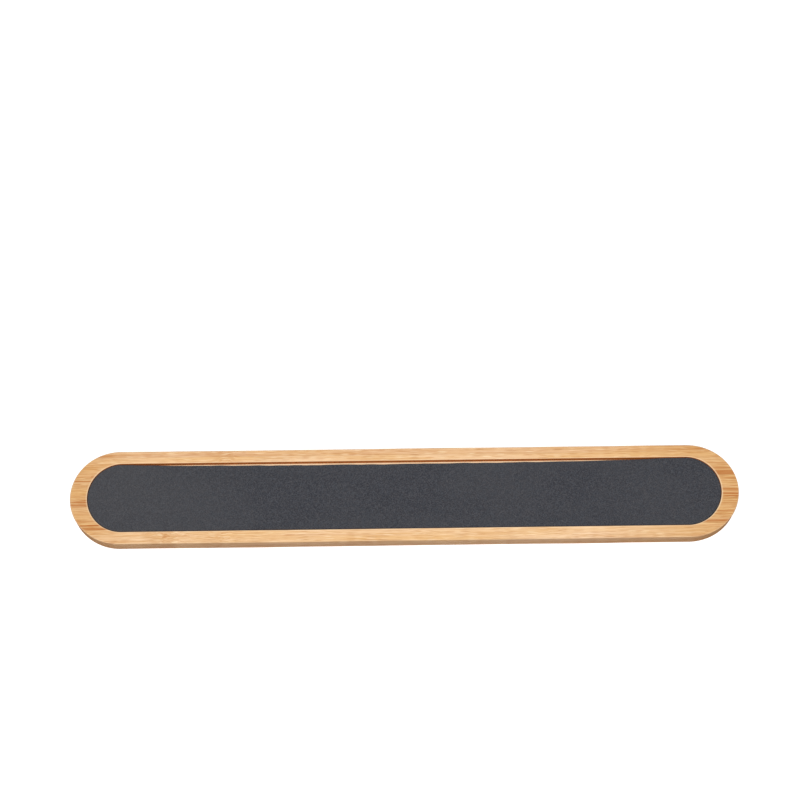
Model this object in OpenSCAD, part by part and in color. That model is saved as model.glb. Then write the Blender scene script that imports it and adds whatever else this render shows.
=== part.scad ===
// Leather strop for carving tools.
// A round-ended board of edge-glued bamboo strips has a shallow pocket cut in its top face.
// A strip of leather is stuck into the pocket with a film of double-sided adhesive.
// The back of the board is plain and flat.
// Millimetres. X runs along the board, Y across it and Z up through it.
// The origin is at the centre of the flat back face, and the leather faces up.

/* [Board] */
// Length of the board over its round ends
board_l = 210; // [180:5:260]
// Width of the board, which is also the diameter of its round ends
board_w = 30; // [28:1:36]
// Thickness of the board
board_t = 7; // [5:0.5:10]
// Width of the small bevel sanded on every outside edge
board_bevel = 0.5; // [0.2:0.1:1]

/* [Bamboo strips] */
// Width of a full bamboo strip, across the board
strip_w = 7.75; // [7:0.25:8]
// Width that is left of the strip at the front edge of the board
front_edge_w = 4.6; // [4.5:0.1:5.5]

/* [Pocket] */
// Wood left beside the pocket, along each long side
side_rim = 4; // [3.2:0.1:4.5]
// Wood left at each end of the pocket, on the centre line
end_rim = 5.5; // [4:0.1:8]
// Depth of the pocket
pocket_depth = 2.7; // [2:0.1:3.5]
// Width of the bevel round the pocket's mouth
pocket_bevel = 0.2; // [0.1:0.1:0.5]

/* [Leather] */
// Depth of the leather's face below the top of the board
leather_sink = 0.25; // [0.1:0.05:1]
// Thickness of the adhesive film under the leather
film_t = 0.15; // [0.1:0.05:0.3]
// Gap between the leather and the pocket's wall, round the ends and along the front
leather_gap = 0.1; // [0.05:0.05:0.4]
// Further gap along the rear wall, where the leather's edge is cut short
rear_gap = 1.0; // [0:0.1:1.5]
// Length of the slanting cut at each end of the short edge
rear_gap_run = 45; // [5:1:60]
// Distance from the leather's outline in to the adhesive film's
film_inset = 0.6; // [0.3:0.1:2]
// Width of the bevel on the leather's top edge
leather_bevel = 0.2; // [0.1:0.1:0.5]

/* [Hidden] */
$fn = 96;

pocket_l = board_l - 2 * end_rim;
pocket_w = board_w - 2 * side_rim;
pocket_floor = board_t - pocket_depth;
leather_l = pocket_l - 2 * leather_gap;
leather_w = pocket_w - 2 * leather_gap;
leather_bottom = pocket_floor + film_t;
leather_top = board_t - leather_sink;

// The glue joints between the strips, counted from the front edge of the board.
joints = [for (k = [0:3]) front_edge_w + k * strip_w - board_w / 2];
strip_edges = concat([-board_w / 2], joints, [board_w / 2]);

// Bamboo from different stalks differs in colour.
strip_colours = ["burlywood", "#e3b877", "#dcae6c", "#e8c188", "#deb375"];

over = 1; // how far a cutting solid runs past what it cuts

// A solid with straight sides and half-round ends. The section lists [inset, height] points
// from the bottom up, and inset is how far the outline there lies inside the full outline.
module round_ended(length, width, section) {
    r = width / 2;
    bottom = section[0][1];
    top = section[len(section) - 1][1];
    half = concat([[0, bottom]], [for (p = section) [r - p[0], p[1]]], [[0, top]]);
    whole = concat(
        [for (p = section) [r - p[0], p[1]]],
        [for (k = [len(section) - 1:-1:0]) [section[k][0] - r, section[k][1]]]
    );
    union() {
        rotate([90, 0, 90])
            linear_extrude(length - width, center = true)
                polygon(whole);
        for (side = [0, 180])
            rotate([0, 0, side])
                translate([length / 2 - r, 0, 0])
                    rotate([0, 0, -90])
                        rotate_extrude(angle = 180)
                            polygon(half);
    }
}

// The board before it is divided into strips: bevelled top and bottom, with the pocket cut out.
module board() {
    difference() {
        round_ended(board_l, board_w, [
            [board_bevel, 0],
            [0, board_bevel],
            [0, board_t - board_bevel],
            [board_bevel, board_t],
        ]);
        round_ended(pocket_l, pocket_w, [
            [0, pocket_floor],
            [0, board_t - pocket_bevel],
            [-pocket_bevel - over, board_t + over],
        ]);
    }
}

// One strip of the board, counted from the front. It runs the whole length of the board.
module bamboo_strip(k) {
    color(strip_colours[k])
        intersection() {
            board();
            translate([-board_l / 2 - over, strip_edges[k], -over])
                cube([board_l + 2 * over, strip_edges[k + 1] - strip_edges[k], board_t + 2 * over]);
        }
}

// What is cut away along the rear of the leather and its film: a shallow trapezium that
// leaves the edge short between the two slanting cuts.
module rear_edge_cut(edge, bottom, top) {
    reach = leather_l / 2 - leather_w / 2;
    translate([0, 0, bottom - over])
        linear_extrude(top - bottom + 2 * over)
            polygon([
                [-reach, edge],
                [rear_gap_run - reach, edge - rear_gap],
                [reach - rear_gap_run, edge - rear_gap],
                [reach, edge],
                [reach, edge + over],
                [-reach, edge + over],
            ]);
}

// Double-sided film, cut a little smaller than the leather, which it holds to the pocket's floor.
module adhesive_film() {
    color("ivory")
        difference() {
            round_ended(leather_l - 2 * film_inset, leather_w - 2 * film_inset, [
                [0, pocket_floor],
                [0, leather_bottom],
            ]);
            rear_edge_cut(leather_w / 2 - film_inset, pocket_floor, leather_bottom);
        }
}

// The leather: round-ended like the pocket, with its rear edge cut short.
module leather_strip() {
    color("#4a4a50")
        difference() {
            round_ended(leather_l, leather_w, [
                [0, leather_bottom],
                [0, leather_top - leather_bevel],
                [leather_bevel, leather_top],
            ]);
            rear_edge_cut(leather_w / 2, leather_bottom, leather_top);
        }
}

bamboo_strip(0);  // front_edge_strip
bamboo_strip(1);  // front_strip
bamboo_strip(2);  // centre_strip
bamboo_strip(3);  // rear_strip
bamboo_strip(4);  // rear_edge_strip
adhesive_film();
leather_strip();
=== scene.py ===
"""A leather strop: a round-ended board of five edge-glued bamboo strips, with a strip of dark
leather stuck into a shallow pocket in its top face.

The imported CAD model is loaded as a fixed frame. The bamboo strips and the leather are replaced
by finer meshes of the same size, with soft worked edges and grain, and the adhesive film keeps
its CAD shape. Lengths are in metres, and X runs along the board, Y across it and Z up.
"""

import math

import bmesh
import bpy
import numpy as np
from mathutils import Matrix, Vector, noise


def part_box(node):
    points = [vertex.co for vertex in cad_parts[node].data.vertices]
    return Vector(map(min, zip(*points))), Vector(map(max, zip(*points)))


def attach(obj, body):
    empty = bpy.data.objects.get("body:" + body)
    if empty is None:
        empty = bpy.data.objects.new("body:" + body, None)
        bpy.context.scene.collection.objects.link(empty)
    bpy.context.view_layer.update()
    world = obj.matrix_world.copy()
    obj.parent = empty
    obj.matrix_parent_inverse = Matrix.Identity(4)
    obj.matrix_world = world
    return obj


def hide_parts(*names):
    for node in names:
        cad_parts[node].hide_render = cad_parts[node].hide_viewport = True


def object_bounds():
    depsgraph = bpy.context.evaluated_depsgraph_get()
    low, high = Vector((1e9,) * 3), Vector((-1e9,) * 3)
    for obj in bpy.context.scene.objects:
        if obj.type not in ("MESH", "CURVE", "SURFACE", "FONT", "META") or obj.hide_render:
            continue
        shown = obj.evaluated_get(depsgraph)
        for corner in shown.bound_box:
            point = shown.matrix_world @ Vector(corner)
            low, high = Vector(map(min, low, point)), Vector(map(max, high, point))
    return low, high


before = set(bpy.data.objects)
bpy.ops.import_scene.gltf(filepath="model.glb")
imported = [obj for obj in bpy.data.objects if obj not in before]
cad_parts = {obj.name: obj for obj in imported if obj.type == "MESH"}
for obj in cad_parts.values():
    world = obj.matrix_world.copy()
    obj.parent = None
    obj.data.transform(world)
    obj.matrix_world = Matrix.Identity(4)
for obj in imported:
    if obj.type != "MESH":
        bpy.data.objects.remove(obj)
cad_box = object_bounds()

MM = 0.001

# The bamboo strips from the front edge to the rear, each with its piece's name, the seed of
# its grain, how strongly its fibres show, how tan its top is, and the nodes of the stalk that
# cross it. Each of those has its place along the board on the back face, how far it leans along
# the board up to the top face, in millimetres, and how strongly it shows.
STRIPS = {
    "front_edge_strip": ("front_edge_bamboo", 11, 0.9, 0.0, [(-73, 0, 1.1), (-59, 1, 0.6)]),
    "front_strip": ("front_bamboo", 23, 1.0, 0.0, []),
    "centre_strip": ("centre_bamboo", 37, 0.9, 0.05, [(-54, 0, 1.2)]),
    "rear_strip": ("rear_bamboo", 41, 0.7, 0.2, [(-57, 3, 0.7)]),
    "rear_edge_strip": ("rear_edge_bamboo", 59, 0.4, 0.2, [(-57, 3, 0.7)]),
}

# The board, which fills the CAD model's box
board_high = cad_box[1]
BOARD_TOP = board_high.z
BOARD_RADIUS = board_high.y
BOARD_STRAIGHT = board_high.x - BOARD_RADIUS  # half the length of its straight sides
STRIP_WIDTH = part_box("centre_strip")[1].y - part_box("centre_strip")[0].y

# The pocket, from the leather and the film in it
LEATHER_GAP = 0.1 * MM  # to the pocket's wall
leather_low, leather_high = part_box("leather_strip")
LEATHER_RADIUS = -leather_low.y
LEATHER_STRAIGHT = leather_high.x - LEATHER_RADIUS
POCKET_RADIUS = LEATHER_RADIUS + LEATHER_GAP
POCKET_STRAIGHT = LEATHER_STRAIGHT
POCKET_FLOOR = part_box("adhesive_film")[0].z

# Worked edges
ARRIS = 0.42 * MM  # radius of the board's sanded edges
ARRIS_CHANGE = 0.14 * MM  # how much that radius wanders along the board
POCKET_ARRIS = 0.24 * MM  # the same for the edge of the pocket's mouth
POCKET_FOOT = 0.15 * MM  # radius between the pocket's wall and its floor
OUTLINE_WANDER = 0.13 * MM  # how far hand sanding has moved the outline inwards, at most
END_STRETCH = 0.9 * MM  # how much longer than a half circle each end's outline has become
REAR_CUT = 0.88 * MM  # how far the leather's rear edge is cut short, at the cut's middle
REAR_CUT_MIDDLE = -4 * MM
REAR_CUT_REACH = LEATHER_STRAIGHT + 0.5 * MM  # from its middle to where it runs out
REAR_CUT_POWER = 3.3  # of the bow that it follows: the higher, the squarer its ends
REAR_WAVES = ((0.09 * MM, 4 * MM, 45), (0.12 * MM, 13 * MM, 17))  # height, spacing and seed
LEATHER_ARRIS = 0.32 * MM  # radius of the leather's pressed upper edge
LEATHER_TRIM = 0.05 * MM  # how far in the knife leaned on its way up, on average
LEATHER_HOLLOW = 0.05 * MM  # how far in the sides are drawn half way up
HIDE_RELIEF = 0.03 * MM  # half the depth of the hide's slow unevenness
NAP_RELIEF = 0.02 * MM  # and of the bumps of its nap

SAME_POINT = 0.001 * MM  # mesh points closer than this are joined
SHARP_ANGLE = math.radians(50)  # faces that meet at more than this are shaded as a crease


# ---------------------------------------------------------------- Meshes

def noise_at(points, size, seed):
    """Smooth noise from about -1 to 1 at each point. size is how far apart its bumps are."""
    scaled = points / np.asarray(size)
    return np.array([noise.noise(Vector(p) + Vector((seed, 0, 0))) for p in scaled])


def stations(straight_steps, arc_steps):
    """Points round a round-ended outline, anticlockwise from the west end of the south side.
    Each has its place along the straight part, from -1 to 1, and its outward direction."""
    along, out = [], []
    for side in (-1, 1):
        for k in range(straight_steps):
            along.append(-side * (2 * k / straight_steps - 1))
            out.append((0, side))
        for k in range(arc_steps):
            angle = math.pi * (k / arc_steps - 0.5)
            along.append(-side)
            out.append((-side * math.cos(angle), -side * math.sin(angle)))
    return np.array(along), np.array(out)


def ring(outline, straight, radius, height, stretch=0.0):
    """The points of one round-ended ring. radius and height may differ from point to point.
    stretch makes its ends longer than half circles, without making the whole any longer."""
    along, out = outline
    points = np.empty((len(along), 3))
    points[:, 0] = along * (straight - stretch) + out[:, 0] * (radius + stretch)
    points[:, 1] = out[:, 1] * radius
    points[:, 2] = height
    return points


def shares(steps):
    """How far along a stretch each of its rings lies, in equal steps from the ring before it."""
    return np.linspace(0, 1, steps + 1)[1:]


def quarter(steps):
    """The sine and cosine at each ring of a rounded edge, in equal steps of a quarter turn."""
    return [(math.sin(a), math.cos(a)) for a in np.linspace(0, math.pi / 2, steps + 1)[1:]]


def loft(rings):
    """The points and faces of a skin through the rings, from the middle of the underside
    round to the middle of the top."""
    count = len(rings[0])
    start = np.arange(count)
    after = np.roll(start, -1)
    faces = [
        np.stack([start, after, after + count, start + count], axis=1) + k * count
        for k in range(len(rings) - 1)
    ]
    return np.concatenate(rings), np.concatenate(faces)


class Skin:
    """The board's skin as it grows, ring by ring, with three marks on each point: how much
    painted light brightens the pocket's wall, how pale it is from sanding and from painted
    highlight and light, and how much of the painted shade on the outer sides it has."""

    def __init__(self):
        self.outline = stations(straight_steps=480, arc_steps=120)
        edge = ring(self.outline, BOARD_STRAIGHT, BOARD_RADIUS, 0)
        self.soft_back = ARRIS + ARRIS_CHANGE * noise_at(edge, 9 * MM, 3)
        self.soft_top = ARRIS + ARRIS_CHANGE * noise_at(edge, 12 * MM, 7)
        self.soft_mouth = POCKET_ARRIS * (1 + 0.3 * noise_at(edge, 8 * MM, 13))
        out_x, out_y = self.outline[1].T
        # painted highlight on the pocket mouth's edge: strongest at the east end, weaker at the
        # west
        east = np.maximum(out_x, 0) * (0.8 - 0.4 * out_y)
        self.pale = 1 + east + 0.5 * np.maximum(-out_x, 0)  # the mouth is paler at the ends
        self.rings = []
        self.marks = []

    def add(self, straight, radius, height, burnt=0.0, fresh=0.0, side=0.0, stretch=0.0):
        self.rings.append(ring(self.outline, straight, radius, height, stretch))
        marks = [np.broadcast_to(mark, len(self.pale)) for mark in (burnt, fresh, side)]
        self.marks.append(np.stack(marks, axis=1))

    def add_outer(self, radius, height, **settings):
        """Adds a ring of the board's outside, with its stretched ends."""
        self.add(BOARD_STRAIGHT, radius, height, stretch=END_STRETCH, **settings)


def add_back(skin):
    """The flat back and the rounded edge round it."""
    for share in np.linspace(0, 1, 62):
        radius = share * (BOARD_RADIUS - skin.soft_back)
        skin.add(BOARD_STRAIGHT, radius, 0, stretch=share * END_STRETCH)
    for s, c in quarter(7):
        radius = BOARD_RADIUS - skin.soft_back * (1 - s)
        # painted shade on the rounded edge of the back
        skin.add_outer(radius, skin.soft_back * (1 - c), side=s)


def add_sides(skin):
    """The upright sides and the rounded edge at their top."""
    upright = BOARD_TOP - skin.soft_back - skin.soft_top
    for share in shares(15):
        # painted shade: the sides are painted darker, most towards the bottom
        skin.add_outer(BOARD_RADIUS, skin.soft_back + share * upright, side=1.1 - 0.5 * share)
    for s, c in quarter(8):
        radius = BOARD_RADIUS - skin.soft_top * (1 - c)
        height = BOARD_TOP - skin.soft_top * (1 - s)
        # the top edge's pale sanding with painted highlight, and painted shade fading up from
        # the side
        skin.add_outer(radius, height, fresh=0.4 * s * c, side=0.6 * c * c)


def add_rim(skin):
    """The flat top round the pocket, and the rounded edge of the pocket's mouth."""
    rim_in = POCKET_RADIUS + skin.soft_mouth
    rim_out = BOARD_RADIUS - skin.soft_top
    for share in shares(18):
        straight = BOARD_STRAIGHT + share * (POCKET_STRAIGHT - BOARD_STRAIGHT)
        radius = rim_out + share * (rim_in - rim_out)
        # painted highlight along the pocket's mouth
        fresh = 0.15 * skin.pale if share == 1 else 0
        skin.add(straight, radius, BOARD_TOP, fresh=fresh, stretch=(1 - share) * END_STRETCH)
    for s, c in quarter(6):
        radius = POCKET_RADIUS + skin.soft_mouth * (1 - s)
        height = BOARD_TOP - skin.soft_mouth * (1 - c)
        # painted highlight on the rounded edge of the pocket's mouth
        fresh = 0.9 * s * c * skin.pale
        # painted light: the wall's orange-brown begins low on this edge
        skin.add(POCKET_STRAIGHT, radius, height, burnt=0.9 * s ** 3, fresh=fresh)


def add_pocket(skin):
    """The pocket's wall painted bright orange-brown, and its floor paler, as painted light."""
    foot = POCKET_FLOOR + POCKET_FOOT
    wall = BOARD_TOP - skin.soft_mouth - foot
    for share in shares(9):
        height = BOARD_TOP - skin.soft_mouth - share * wall
        # painted light: the wall is painted a bright orange-brown that lifts it out of its shade
        skin.add(POCKET_STRAIGHT, POCKET_RADIUS, height, burnt=1)
    for s, c in quarter(3):
        radius = POCKET_RADIUS - POCKET_FOOT * (1 - c)
        height = foot - POCKET_FOOT * s
        # painted light on the foot of the wall
        skin.add(POCKET_STRAIGHT, radius, height, burnt=0.7 - 0.7 * s, fresh=0.7 * s)
    for share in shares(29):
        radius = (POCKET_RADIUS - POCKET_FOOT) * (1 - share)
        # painted light: the floor is painted paler than the shade of the narrow gap leaves it
        skin.add(POCKET_STRAIGHT, radius, POCKET_FLOOR, fresh=0.7)


def board_skin():
    """The points and faces of the whole board's skin, and the marks on its points."""
    skin = Skin()
    add_back(skin)
    add_sides(skin)
    add_rim(skin)
    add_pocket(skin)
    points, faces = loft(skin.rings)
    work_board(points, skin.outline[1])
    return points, faces, np.concatenate(skin.marks)


def work_board(points, out):
    """Draws the board's outside in a little here and there, as hand sanding does."""
    across = np.hypot(np.maximum(np.abs(points[:, 0]) - BOARD_STRAIGHT, 0), points[:, 1])
    near_edge = np.clip((across - POCKET_RADIUS) / (BOARD_RADIUS - POCKET_RADIUS), 0, 1)
    wander = 0.5 + 0.7 * noise_at(points, (24 * MM, 24 * MM, 9 * MM), 21)
    outwards = np.tile(out, (len(points) // len(out), 1))
    points[:, :2] -= outwards * (OUTLINE_WANDER * near_edge * np.clip(wander, 0, 1))[:, None]


def strip_mesh(name, skin, low, high):
    """The part of the board's skin between two glue joints, closed across each joint."""
    points, faces, marks = skin
    y = points[faces, 1]
    kept = faces[(y.max(1) > low) & (y.min(1) < high)]
    used, places = np.unique(kept, return_inverse=True)
    mesh = bpy.data.meshes.new(name)
    mesh.from_pydata(points[used], [], places.reshape(kept.shape))
    for column, mark in enumerate(("burnt", "fresh", "side")):
        attribute = mesh.attributes.new(mark, "FLOAT", "POINT")
        attribute.data.foreach_set("value", marks[used, column].astype(np.float32))
    bm = bmesh.new()
    bm.from_mesh(mesh)
    bmesh.ops.remove_doubles(bm, verts=bm.verts, dist=SAME_POINT)
    for joint, facing in ((low, -1), (high, 1)):
        if abs(joint) < BOARD_RADIUS - 0.01 * MM:  # the board's own sides aren't joints
            cut_at_joint(bm, joint, facing)
    finish_mesh(bm, mesh)
    return mesh


def cut_at_joint(bm, joint, facing):
    """Cuts away what lies beyond a glue joint, and closes the cut."""
    everything = [*bm.verts, *bm.edges, *bm.faces]
    normal = (0, facing, 0)
    bmesh.ops.bisect_plane(
        bm, geom=everything, plane_co=(0, joint, 0), plane_no=normal, clear_outer=True
    )
    cut = [e for e in bm.edges
           if all(abs(v.co.y - joint) < SAME_POINT for v in e.verts) and e.is_boundary]
    bmesh.ops.triangle_fill(bm, edges=cut, use_beauty=True, normal=normal)


def finish_mesh(bm, mesh):
    """Turns the faces outwards, and puts them back in the mesh with smooth shading."""
    bmesh.ops.recalc_face_normals(bm, faces=bm.faces)
    bm.to_mesh(mesh)
    bm.free()
    mesh.shade_smooth()
    mesh.set_sharp_from_angle(angle=SHARP_ANGLE)


def cut_rear_edge(points):
    """Draws in the rear half of the leather's points to a bowed and slightly uneven cut."""
    x, y = points[:, 0], points[:, 1]
    round_end = np.maximum(np.abs(x) - LEATHER_STRAIGHT, 0) / LEATHER_RADIUS
    outline = LEATHER_RADIUS * np.sqrt(np.maximum(1 - round_end ** 2, 1e-6))
    line = np.zeros_like(points)
    line[:, 0] = x  # so that the waves are the same all the way up the edge
    bow = np.clip(1 - np.abs((x - REAR_CUT_MIDDLE) / REAR_CUT_REACH) ** REAR_CUT_POWER, 0, 1)
    uneven = sum(height * noise_at(line, spacing, seed) for height, spacing, seed in REAR_WAVES)
    limit = LEATHER_RADIUS - bow * REAR_CUT - uneven * np.sqrt(bow)
    share = np.minimum(limit / outline, 1)
    points[:, 1] = np.where(y > 0, y * share, y)


def leather_rings(bottom, top):
    """The leather's skin before its rear edge is cut: flat below, upright sides that the knife
    left leaning in a little, a pressed round edge, and the face."""
    outline = stations(straight_steps=560, arc_steps=120)
    edge = ring(outline, LEATHER_STRAIGHT, LEATHER_RADIUS, 0)
    soft = LEATHER_ARRIS * (1 + 0.25 * noise_at(edge, 6 * MM, 31))
    trim = LEATHER_TRIM * (1 + noise_at(edge, 7 * MM, 33))
    radius_cut = LEATHER_RADIUS - trim
    rings = []

    def add(radius, height):
        rings.append(ring(outline, LEATHER_STRAIGHT, radius, height))

    for share in np.linspace(0, 1, 12):
        add(share * LEATHER_RADIUS, bottom)
    for share in shares(9):
        hollow = LEATHER_HOLLOW * math.sin(math.pi * share)
        add(LEATHER_RADIUS - share * trim - hollow, bottom + share * (top - bottom - soft))
    for s, c in quarter(7):
        add(radius_cut - soft * (1 - c), top - soft * (1 - s))
    for share in shares(43):
        add((radius_cut - soft) * (1 - share), top)
    return rings


def leather_mesh(name):
    """The leather: its rear edge is cut short in a slightly uneven line, and its face is a fine
    nap over a slow unevenness of the hide."""
    bottom, top = leather_low.z, leather_high.z
    points, faces = loft(leather_rings(bottom, top))
    cut_rear_edge(points)
    on_face = np.clip((points[:, 2] - bottom) / (top - bottom) * 4 - 3, 0, 1)  # top quarter
    hide = HIDE_RELIEF * (noise_at(points, 9 * MM, 53) - 1)
    nap = NAP_RELIEF * (noise_at(points, 0.45 * MM, 61) - 1)
    points[:, 2] += on_face * (hide + nap)
    mesh = bpy.data.meshes.new(name)
    mesh.from_pydata(points, [], faces)
    bm = bmesh.new()
    bm.from_mesh(mesh)
    bmesh.ops.remove_doubles(bm, verts=bm.verts, dist=SAME_POINT)
    finish_mesh(bm, mesh)
    return mesh


def add_piece(name, mesh, material, node):
    """Puts a mesh in the scene in place of a CAD node."""
    piece = bpy.data.objects.new(name, mesh)
    bpy.context.scene.collection.objects.link(piece)
    mesh.materials.append(material)
    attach(piece, "root")
    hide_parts(node)
    return piece


# ---------------------------------------------------------------- Materials

class Shader:
    """A material's nodes. Each method adds a node and returns its output."""

    def __init__(self, name):
        self.material = bpy.data.materials.new(name)
        self.material.use_nodes = True
        self.tree = self.material.node_tree
        self.surface = self.tree.nodes["Principled BSDF"]
        coordinates = self.add("TexCoord", {}).outputs["Object"]
        self.place = self.vector("MULTIPLY", coordinates, (1000, 1000, 1000))  # millimetres
        self.x, self.y, self.z = self.parts(self.place)

    def add(self, kind, inputs, **settings):
        node = self.tree.nodes.new("ShaderNode" + kind)
        for key, value in settings.items():
            setattr(node, key, value)
        for key, value in inputs.items():
            self.feed(node.inputs[key], value)
        return node

    def feed(self, socket, value):
        if isinstance(value, bpy.types.NodeSocket):
            self.tree.links.new(value, socket)
        else:
            socket.default_value = value

    def vector(self, operation, a, b, c=(0, 0, 0)):
        return self.add("VectorMath", {0: a, 1: b, 2: c}, operation=operation).outputs[0]

    def math(self, operation, a, b=0.0, c=0.0):
        return self.add("Math", {0: a, 1: b, 2: c}, operation=operation).outputs[0]

    def parts(self, vector):
        return self.add("SeparateXYZ", {0: vector}).outputs[:3]

    def point(self, x, y, z):
        return self.add("CombineXYZ", {0: x, 1: y, 2: z}).outputs[0]

    def scaled(self, vector, size, seed):
        """A place among a noise's bumps or cells of the given size. Each seed has its own."""
        return self.vector("MULTIPLY_ADD", vector, [1 / s for s in size], (seed, seed, seed))

    def noise(self, vector, size, seed, detail=2.0, roughness=0.5):
        """Noise with bumps about size apart, in millimetres along X, Y and Z."""
        inputs = {"Vector": self.scaled(vector, size, seed), "Scale": 1.0}
        inputs.update({"Detail": detail, "Roughness": roughness})
        return self.add("TexNoise", inputs).outputs[0]

    def wander(self, vector, size, seed, detail=2.0):
        """The same kind of noise as a vector, from about -0.5 to 0.5 each way."""
        inputs = {"Vector": self.scaled(vector, size, seed), "Scale": 1.0, "Detail": detail}
        colour = self.add("TexNoise", inputs).outputs[1]
        return self.vector("SUBTRACT", colour, (0.5, 0.5, 0.5))

    def cells(self, vector, size, seed):
        """Cells of the given size in millimetres: the distance to the nearest one's middle,
        and a random number that is the same all over it."""
        inputs = {"Vector": self.scaled(vector, size, seed), "Scale": 1.0, "Randomness": 0.9}
        node = self.add("TexVoronoi", inputs)
        return node.outputs["Distance"], self.parts(node.outputs["Color"])[0]

    def step(self, value, low, high, start=0.0, end=1.0):
        """A smooth step from start to end as value goes from low to high."""
        inputs = {"Value": value, "From Min": low, "From Max": high}
        inputs.update({"To Min": start, "To Max": end})
        return self.add("MapRange", inputs, interpolation_type="SMOOTHSTEP").outputs[0]

    def mix(self, factor, a, b, blend="MIX"):
        node = self.add("Mix", {0: factor, 6: a, 7: b}, data_type="RGBA", blend_type=blend)
        return node.outputs[2]

    def attribute(self, name):
        return self.add("Attribute", {}, attribute_name=name).outputs["Fac"]

    def bump(self, height, depth):
        inputs = {"Height": height, "Distance": depth, "Strength": 1.0}
        normal = self.add("Bump", inputs).outputs[0]
        self.feed(self.surface.inputs["Normal"], normal)


# The bamboo's colours, the marks of the glue and the sanding, and the painted light and shade on
# it
PALE = (0.905, 0.642, 0.414, 1)
TAN = (0.73, 0.44, 0.21, 1)
FIBRE = (0.46, 0.16, 0.042, 1)
LIGHT_DASH = (0.98, 0.77, 0.50, 1)
NODE_BROWN = (0.56, 0.28, 0.10, 1)
HONEY = (0.97, 0.92, 0.78, 1)
# Painted shade: darker and more golden towards both ends
GOLDEN_SHADE = (0.86, 0.79, 0.63, 1)
PORE = (0.66, 0.55, 0.42, 1)
# Painted light: the pocket wall's bright orange-brown, which lifts it out of its shade
WALL_LIGHT = (0.93, 0.25, 0.035, 1)
# Painted shade on the outer sides
SIDE_SHADE = (0.81, 0.67, 0.54, 1)
# Pale sanded edges, painted highlights on them, and painted light on the pocket's floor
PALE_AND_PAINTED_LIGHT = (1.0, 0.82, 0.56, 1)
GLUE = (0.42, 0.22, 0.10, 1)

# Where a tone changes from nothing to full, in millimetres
END_TONE = (40, 104)  # along the board, either way from its middle
VERY_END_TONE = (75, 102)
# painted shade towards both ends
GOLDEN_SHADE_EAST = (55, 110)
GOLDEN_SHADE_WEST = (-110, -80)  # full at the first
TOP_TONE = (1, 6)  # up through the board

# The kinds of fibre line. Each is one of many long cells, and has a random number. A kind has
# its cells' size in millimetres, what it adds to the seed, how soft its lines' edges are as a
# share of a cell, and the smooth step from a line's number to its strength.
BUNDLES = ((130, 0.46, 0.8), 1, 0.07, (0.2, 0.9, 0.1, 0.7))
THIN_LINES = ((40, 0.36, 0.5), 7, 0.08, (0.3, 0.9, 0.0, 0.65))
SHORT_LINES = ((5, 0.28, 0.32), 2, 0.10, (0.35, 0.7, 0.0, 0.45))
BRIGHT_LINES = ((4.5, 0.28, 0.3), 3, 0.10, (0.4, 0.75, 0.0, 0.55))
SHORT_CORE = 0.28  # half the width of a short or bright line, as a share of a cell


def stalk_nodes(s, nodes):
    """Where the stalk's nodes stir the grain, and where they make it brown: on the west side
    of a ragged line across the strip."""
    stir, brown = 0.0, 0.0
    bend = s.math("MULTIPLY", s.math("SINE", s.math("MULTIPLY", s.y, 0.8)), 0.7)
    ragged = s.math("MULTIPLY_ADD", s.noise(s.place, (3, 0.6, 0.6), 71, 2), 4.0, bend)
    ragged = s.math("SUBTRACT", ragged, 2.0)
    for middle, lean, strength in nodes:
        leaning = s.math("MULTIPLY_ADD", s.z, lean / (BOARD_TOP / MM), middle)
        u = s.math("DIVIDE", s.math("SUBTRACT", s.x, leaning), 0.5 + 0.45 * strength)
        u = s.math("SUBTRACT", u, ragged)
        square = s.math("MULTIPLY", u, u)
        near = s.math("EXPONENT", s.math("MULTIPLY", square, -1 / 36))
        west = s.math("MULTIPLY", s.step(u, -11, -4), s.step(u, 0.2, 1.6, 1.0, 0.0))
        stir = s.math("MULTIPLY_ADD", near, strength, stir)
        brown = s.math("MULTIPLY_ADD", west, strength, brown)
    return stir, brown


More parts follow.
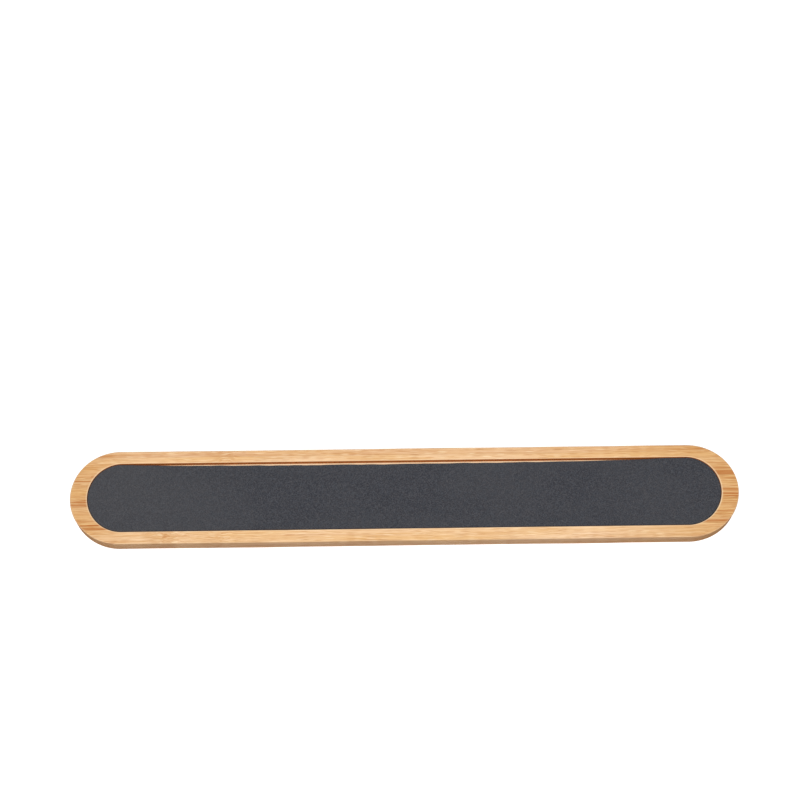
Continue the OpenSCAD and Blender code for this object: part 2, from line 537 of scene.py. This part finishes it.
class Bamboo(Shader):
    """Bamboo cut across the stalk's wall. start is where the strip's full width begins, on the
    skin side, where the fibre bundles are dark and close. They thin out towards its far side."""

    def __init__(self, name, start, seed, fibre, nodes):
        super().__init__(name)
        self.seed = seed
        self.from_joint = self.math("SUBTRACT", self.y, start)
        self.stir, self.brown = stalk_nodes(self, nodes) if nodes else (None, None)
        self.grain = self.drifting_grain()

        # Where on the strip a point is: near the skin side, near an end, and there near the top
        across = self.math("SUBTRACT", self.parts(self.grain)[1], start)
        share = self.math("DIVIDE", across, STRIP_WIDTH / MM)
        self.skin = self.step(share, -0.02, 0.6, 1.0, 0.0)
        self.from_middle = self.math("ABSOLUTE", self.x)
        self.very_end = self.step(self.from_middle, *VERY_END_TONE)
        self.end_top = self.math("MULTIPLY", self.very_end, self.step(self.z, *TOP_TONE))

        # The fibres that both the colour and the texture show, and the width of the long lines
        core = self.math("MULTIPLY_ADD", self.end_top, 0.09, 0.26)
        self.core = self.math("MULTIPLY_ADD", self.skin, 0.12, core)
        self.streaks = self.noise(self.grain, (20, 0.24, 0.26), seed + 4, 4, 0.75)
        self.bright = self.picked_lines(BRIGHT_LINES, SHORT_CORE)
        bundles = self.picked_lines(BUNDLES, self.core)
        self.bundles = self.math("MULTIPLY", bundles, self.more_near_skin(0.35, 0.65))
        self.strength = self.line_strength(fibre)

    def drifting_grain(self):
        """Each point's place in the grain, which drifts from side to side, and is stirred
        where a node crosses it."""
        drift = self.wander(self.place, (70, 26, 26), self.seed)
        waver = self.wander(self.place, (11, 3, 3), self.seed + 5)
        moved = self.vector("MULTIPLY_ADD", drift, (0, 3.0, 3.0), self.place)
        moved = self.vector("MULTIPLY_ADD", waver, (0, 0.35, 0.35), moved)
        if self.stir is None:
            return moved
        swirl = self.wander(self.place, (6, 2.6, 2.6), self.seed + 9, 1)
        swirl = self.vector("MULTIPLY", swirl, (6, 2.8, 2.8))
        stir = self.point(self.stir, self.stir, self.stir)
        return self.vector("MULTIPLY_ADD", swirl, stir, moved)

    def more_near_skin(self, least, rise):
        """A strength that is least far from the skin side, and rises to the skin."""
        return self.math("MULTIPLY_ADD", self.skin, rise, least)

    def line_strength(self, fibre):
        """How dark the long lines are: more so towards the ends, and most on their top."""
        to_end = self.step(self.from_middle, *END_TONE)
        strength = self.math("MULTIPLY_ADD", to_end, 0.3 * fibre, fibre)
        strength = self.math("MULTIPLY_ADD", self.very_end, 0.5 * fibre, strength)
        return self.math("MULTIPLY_ADD", self.end_top, 0.3 * fibre, strength)

    def lines(self, size, seed_step, core, soft):
        """Long thin lines of fibre: how far each point is inside one, and a number for each."""
        reach, pick = self.cells(self.grain, size, self.seed + seed_step)
        core = self.math("MULTIPLY", self.math("MULTIPLY_ADD", pick, 0.5, 0.75), core)
        return self.step(self.math("SUBTRACT", reach, core), -soft, soft, 1.0, 0.0), pick

    def picked_lines(self, kind, core):
        """Lines of a kind that differ in strength, and are missing where it is nought."""
        size, seed_step, soft, strengths = kind
        inside, pick = self.lines(size, seed_step, core, soft)
        return self.math("MULTIPLY", inside, self.step(pick, *strengths))

    def ground(self, tan):
        """The wood between the long lines: streaks, layers, patches, short fibres and pores, and
        painted shade at the ends.
        """
        layers = self.noise(self.grain, (90, 1.3, 1.3), self.seed + 8, 2, 0.6)
        patches = self.noise(self.grain, (50, 6, 6), self.seed + 6, 2)
        pores = self.noise(self.grain, (7, 0.15, 0.16), self.seed + 10, 2, 0.6)
        short = self.picked_lines(SHORT_LINES, SHORT_CORE)
        # painted shade that darkens both ends
        golden_shade_west = self.step(self.x, *GOLDEN_SHADE_WEST, 1.0, 0.0)
        golden_shade = self.math("ADD", self.step(self.x, *GOLDEN_SHADE_EAST), golden_shade_west)
        colour = self.mix(self.step(self.streaks, 0.38, 0.6, 0.1, 0.95), TAN, PALE)
        colour = self.mix(self.step(layers, 0.35, 0.65, 0.28, 0.0), colour, TAN)
        colour = self.mix(self.step(self.z, *TOP_TONE, 0.0, tan), colour, TAN)
        colour = self.mix(self.step(patches, 0.35, 0.65), colour, HONEY, "MULTIPLY")
        colour = self.mix(self.math("MULTIPLY", self.skin, 0.14), colour, FIBRE)
        colour = self.mix(short, colour, FIBRE)
        colour = self.mix(self.bright, colour, LIGHT_DASH)
        colour = self.mix(golden_shade, colour, GOLDEN_SHADE, "MULTIPLY")
        return self.mix(self.step(pores, 0.33, 0.52, 0.5, 0.0), colour, PORE, "MULTIPLY")

    def with_lines(self, colour):
        """Adds the long dark lines, and at the very ends the darkest of the streaks."""
        streaks = self.step(self.streaks, 0.36, 0.52, 0.35, 0.0)
        thin = self.picked_lines(THIN_LINES, self.core)
        thin = self.math("MULTIPLY", thin, self.more_near_skin(0.5, 0.5))
        colour = self.mix(self.math("MULTIPLY", self.very_end, streaks), colour, FIBRE)
        colour = self.mix(self.math("MULTIPLY", thin, self.strength), colour, FIBRE)
        return self.mix(self.math("MULTIPLY", self.bundles, self.strength), colour, FIBRE)

    def with_stalk_nodes(self, colour):
        """Adds the brown side of each of the stalk's nodes, and its dark and light dashes."""
        dashes, pick = self.lines((5, 0.36, 0.4), 12, 0.34, 0.08)
        dashes = self.math("MULTIPLY", dashes, self.stir)
        dark = self.math("MULTIPLY", dashes, self.step(pick, 0.35, 0.5, 0.7, 0.0))
        light = self.math("MULTIPLY", dashes, self.step(pick, 0.6, 0.75, 0.0, 0.5))
        brown = self.math("MULTIPLY", self.brown, self.more_near_skin(0.33, 0.27))
        colour = self.mix(brown, colour, NODE_BROWN)
        colour = self.mix(dark, colour, FIBRE)
        return self.mix(light, colour, LIGHT_DASH)

    def with_marks_and_painted_light(self, colour):
        """Adds the glue lines, sanded pale edges, painted shade, and painted light and
        highlights.
        """
        to_joint = self.math("SUBTRACT", STRIP_WIDTH / MM, self.from_joint)
        nearest = self.math("MINIMUM", self.from_joint, to_joint)
        colour = self.mix(self.step(nearest, 0.02, 0.09, 0.45, 0.0), colour, GLUE)
        # painted shade on the outer sides, deepest towards the bottom
        colour = self.mix(self.attribute("side"), colour, SIDE_SHADE, "MULTIPLY")
        # painted light on the pocket's wall
        colour = self.mix(self.math("MULTIPLY", self.attribute("burnt"), 0.85), colour, WALL_LIGHT)
        # pale sanded edges with painted highlights, and painted light on the pocket's floor
        return self.mix(self.attribute("fresh"), colour, PALE_AND_PAINTED_LIGHT)

    def add_texture(self):
        """The surface is rougher and lower along the fibre bundles."""
        rough = self.math("ADD", self.bundles, self.math("MULTIPLY", self.streaks, 0.5))
        self.feed(self.surface.inputs["Roughness"], self.step(rough, 0.0, 1.2, 0.68, 0.8))
        self.surface.inputs["Specular IOR Level"].default_value = 0.06
        dashes = self.math("MULTIPLY", self.bright, 0.4)
        height = self.math("ADD", self.math("MULTIPLY", self.streaks, 0.6), dashes)
        height = self.math("SUBTRACT", height, self.math("MULTIPLY", self.bundles, 0.5))
        self.bump(height, 0.02 * MM)


def bamboo_material(name, start, seed, fibre, tan, nodes):
    s = Bamboo(name, start, seed, fibre, nodes)
    colour = s.with_lines(s.ground(tan))
    if nodes:
        colour = s.with_stalk_nodes(colour)
    s.feed(s.surface.inputs["Base Color"], s.with_marks_and_painted_light(colour))
    s.add_texture()
    return s.material


LEATHER_DARK = (0.020, 0.020, 0.026, 1)
LEATHER_GREY = (0.066, 0.066, 0.075, 1)
LEATHER_GRAIN = (0.026, 0.027, 0.033, 1)
LEATHER_CLOUD = (0.058, 0.057, 0.062, 1)
LEATHER_TINT = (0.88, 0.95, 1.0, 1)
# Painted light on the leather's west end
LEATHER_WEST_LIGHT = (0.08, 0.078, 0.08, 1)
LEATHER_FLECK = (0.13, 0.118, 0.11, 1)
FILM_DARK = (0.72, 0.66, 0.50, 1)
FILM_LIGHT = (0.86, 0.82, 0.70, 1)
FILM_BUBBLE = (0.6, 0.5, 0.34, 1)


def leather_material():
    """Dark grey split leather with a short nap, with painted light that is stronger towards its
    west end.
    """
    s = Shader("dark_leather")
    fine = s.noise(s.place, (0.3, 0.3, 0.3), 3, 3, 0.65)
    tint = s.noise(s.place, (0.7, 0.7, 0.7), 17, 2, 0.6)
    grain = s.noise(s.place, (1.1, 0.9, 0.9), 8, 2, 0.55)
    clouds = s.noise(s.place, (30, 16, 16), 12, 2)
    reach, pick = s.cells(s.place, (0.34, 0.34, 0.34), 5)
    pores = s.step(reach, 0.1, 0.45, 1.0, 0.0)
    flecks = s.math("MULTIPLY", pores, s.step(pick, 0.9, 0.97))
    colour = s.mix(s.step(fine, 0.32, 0.68), LEATHER_DARK, LEATHER_GREY)
    colour = s.mix(s.step(grain, 0.4, 0.75, 0, 0.45), colour, LEATHER_GRAIN)
    colour = s.mix(s.step(clouds, 0.38, 0.66, 0, 0.3), colour, LEATHER_CLOUD)
    colour = s.mix(s.step(tint, 0.35, 0.65), colour, LEATHER_TINT, "MULTIPLY")
    # painted light: lighter towards the west end
    colour = s.mix(s.step(s.x, -98, -35, 0.22, 0.0), colour, LEATHER_WEST_LIGHT)
    colour = s.mix(s.math("MULTIPLY", flecks, 0.6), colour, LEATHER_FLECK)
    s.feed(s.surface.inputs["Base Color"], colour)
    s.feed(s.surface.inputs["Roughness"], s.step(fine, 0.2, 0.8, 0.92, 0.72))
    s.surface.inputs["Sheen Weight"].default_value = 0.1
    s.surface.inputs["Sheen Roughness"].default_value = 0.5
    s.surface.inputs["Specular IOR Level"].default_value = 0.3
    height = s.math("ADD", fine, s.math("MULTIPLY", grain, 0.6))
    s.bump(s.math("SUBTRACT", height, s.math("MULTIPLY", pores, 0.4)), 0.05 * MM)
    return s.material


def adhesive_material():
    """Double-sided film: a fibrous carrier with small bubbles in its adhesive."""
    s = Shader("adhesive")
    fibres = s.noise(s.place, (1.6, 0.25, 0.25), 2, 4, 0.7)
    bubbles = s.cells(s.place, (1.3, 1.3, 1.3), 6)[0]
    colour = s.mix(s.step(fibres, 0.3, 0.7), FILM_DARK, FILM_LIGHT)
    colour = s.mix(s.step(bubbles, 0.1, 0.3, 0.25, 0), colour, FILM_BUBBLE)
    s.feed(s.surface.inputs["Base Color"], colour)
    s.feed(s.surface.inputs["Roughness"], s.step(fibres, 0.2, 0.8, 0.25, 0.45))
    s.bump(fibres, 0.01 * MM)
    return s.material


# ---------------------------------------------------------------- Camera, light and floor

VIEW_DISTANCE = 0.6935  # from the middle of the board
VIEW_TILT = 14.3  # of the sight line to the board, from upright towards the front, in degrees
AIM_ABOVE = 2.523  # degrees that the camera looks above the board
VIEW_SIDE = -0.98 * MM  # from the middle of the board along X
ROLL = -0.72  # degrees
LENS = 99

KEY_LIGHT = 2.2
KEY_TURN = (11, -4)  # about X and Y from straight down, in degrees
BACK_LIGHT = 1.9
BACK_TURN = (180, 0)  # straight up
SUN_SPREAD = math.radians(17)  # how wide each sun looks, which makes its shadows soft
SURROUND = 0.46
FLOOR_REACH = 4.0  # from its middle to each side
FLOOR_DROP = 0.02 * MM  # how far the floor is below the board's back
FLOOR_GLOW = 0.3


def add_camera():
    camera = bpy.data.objects.new("camera", bpy.data.cameras.new("camera"))
    bpy.context.scene.collection.objects.link(camera)
    camera.data.lens = LENS
    camera.data.clip_start = 0.05
    tilt = math.radians(VIEW_TILT)
    centre = Vector((0, 0, BOARD_TOP / 2))
    place = centre + VIEW_DISTANCE * Vector((0, -math.sin(tilt), math.cos(tilt)))
    turn = Matrix.Rotation(tilt + math.radians(AIM_ABOVE), 4, "X")
    turn = turn @ Matrix.Rotation(math.radians(ROLL), 4, "Z")
    camera.matrix_world = Matrix.Translation(place + Vector((VIEW_SIDE, 0, 0))) @ turn
    bpy.context.scene.camera = camera


def add_sun(name, turn, energy):
    sun = bpy.data.objects.new(name, bpy.data.lights.new(name, "SUN"))
    bpy.context.scene.collection.objects.link(sun)
    sun.rotation_euler = (math.radians(turn[0]), math.radians(turn[1]), 0)
    sun.data.energy = energy
    sun.data.angle = SUN_SPREAD


def add_stage():
    """A soft key light near the camera's line, one for the board's back, an even surround, and
    a pale floor."""
    add_sun("key", KEY_TURN, KEY_LIGHT)
    add_sun("back_light", BACK_TURN, BACK_LIGHT)
    world = bpy.data.worlds.new("surround")
    bpy.context.scene.world = world
    world.use_nodes = True
    background = world.node_tree.nodes["Background"]
    background.inputs["Color"].default_value = (1, 1, 1, 1)
    background.inputs["Strength"].default_value = SURROUND
    add_floor()
    bpy.context.scene.view_settings.view_transform = "Standard"


def add_floor():
    mesh = bpy.data.meshes.new("floor")
    corners = [(x * FLOOR_REACH, y * FLOOR_REACH, -FLOOR_DROP)
               for x, y in ((-1, -1), (1, -1), (1, 1), (-1, 1))]
    mesh.from_pydata(corners, [], [(0, 1, 2, 3)])
    mesh.materials.append(floor_material())
    floor = bpy.data.objects.new("floor", mesh)
    bpy.context.scene.collection.objects.link(floor)
    floor.visible_shadow = False
    floor.visible_diffuse = False
    floor.visible_glossy = False


def floor_material():
    """Pale and faintly glowing from above, and clear from below, so that the back shows."""
    material = bpy.data.materials.new("floor")
    material.use_nodes = True
    tree = material.node_tree
    surface = tree.nodes["Principled BSDF"]
    surface.inputs["Base Color"].default_value = (0.9, 0.9, 0.9, 1)
    surface.inputs["Roughness"].default_value = 0.9
    surface.inputs["Emission Color"].default_value = (1, 1, 1, 1)
    surface.inputs["Emission Strength"].default_value = FLOOR_GLOW
    clear = tree.nodes.new("ShaderNodeBsdfTransparent")
    side = tree.nodes.new("ShaderNodeNewGeometry")
    both = tree.nodes.new("ShaderNodeMixShader")
    tree.links.new(side.outputs["Backfacing"], both.inputs[0])
    tree.links.new(surface.outputs[0], both.inputs[1])
    tree.links.new(clear.outputs[0], both.inputs[2])
    tree.links.new(both.outputs[0], tree.nodes["Material Output"].inputs["Surface"])
    return material


# ---------------------------------------------------------------- The strop

def build_board():
    skin = board_skin()
    for node, (name, seed, fibre, tan, nodes) in STRIPS.items():
        low, high = (corner.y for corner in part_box(node))
        start = low if node != "front_edge_strip" else high - STRIP_WIDTH
        material = bamboo_material(name, start / MM, seed, fibre, tan, nodes)
        add_piece(name, strip_mesh(name, skin, low, high), material, node)


def build_leather():
    mesh = leather_mesh("leather")
    piece = add_piece("leather", mesh, leather_material(), "leather_strip")


def finish_film():
    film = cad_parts["adhesive_film"]
    film.data.materials.clear()
    film.data.materials.append(adhesive_material())


add_camera()
add_stage()
build_board()
build_leather()
finish_film()
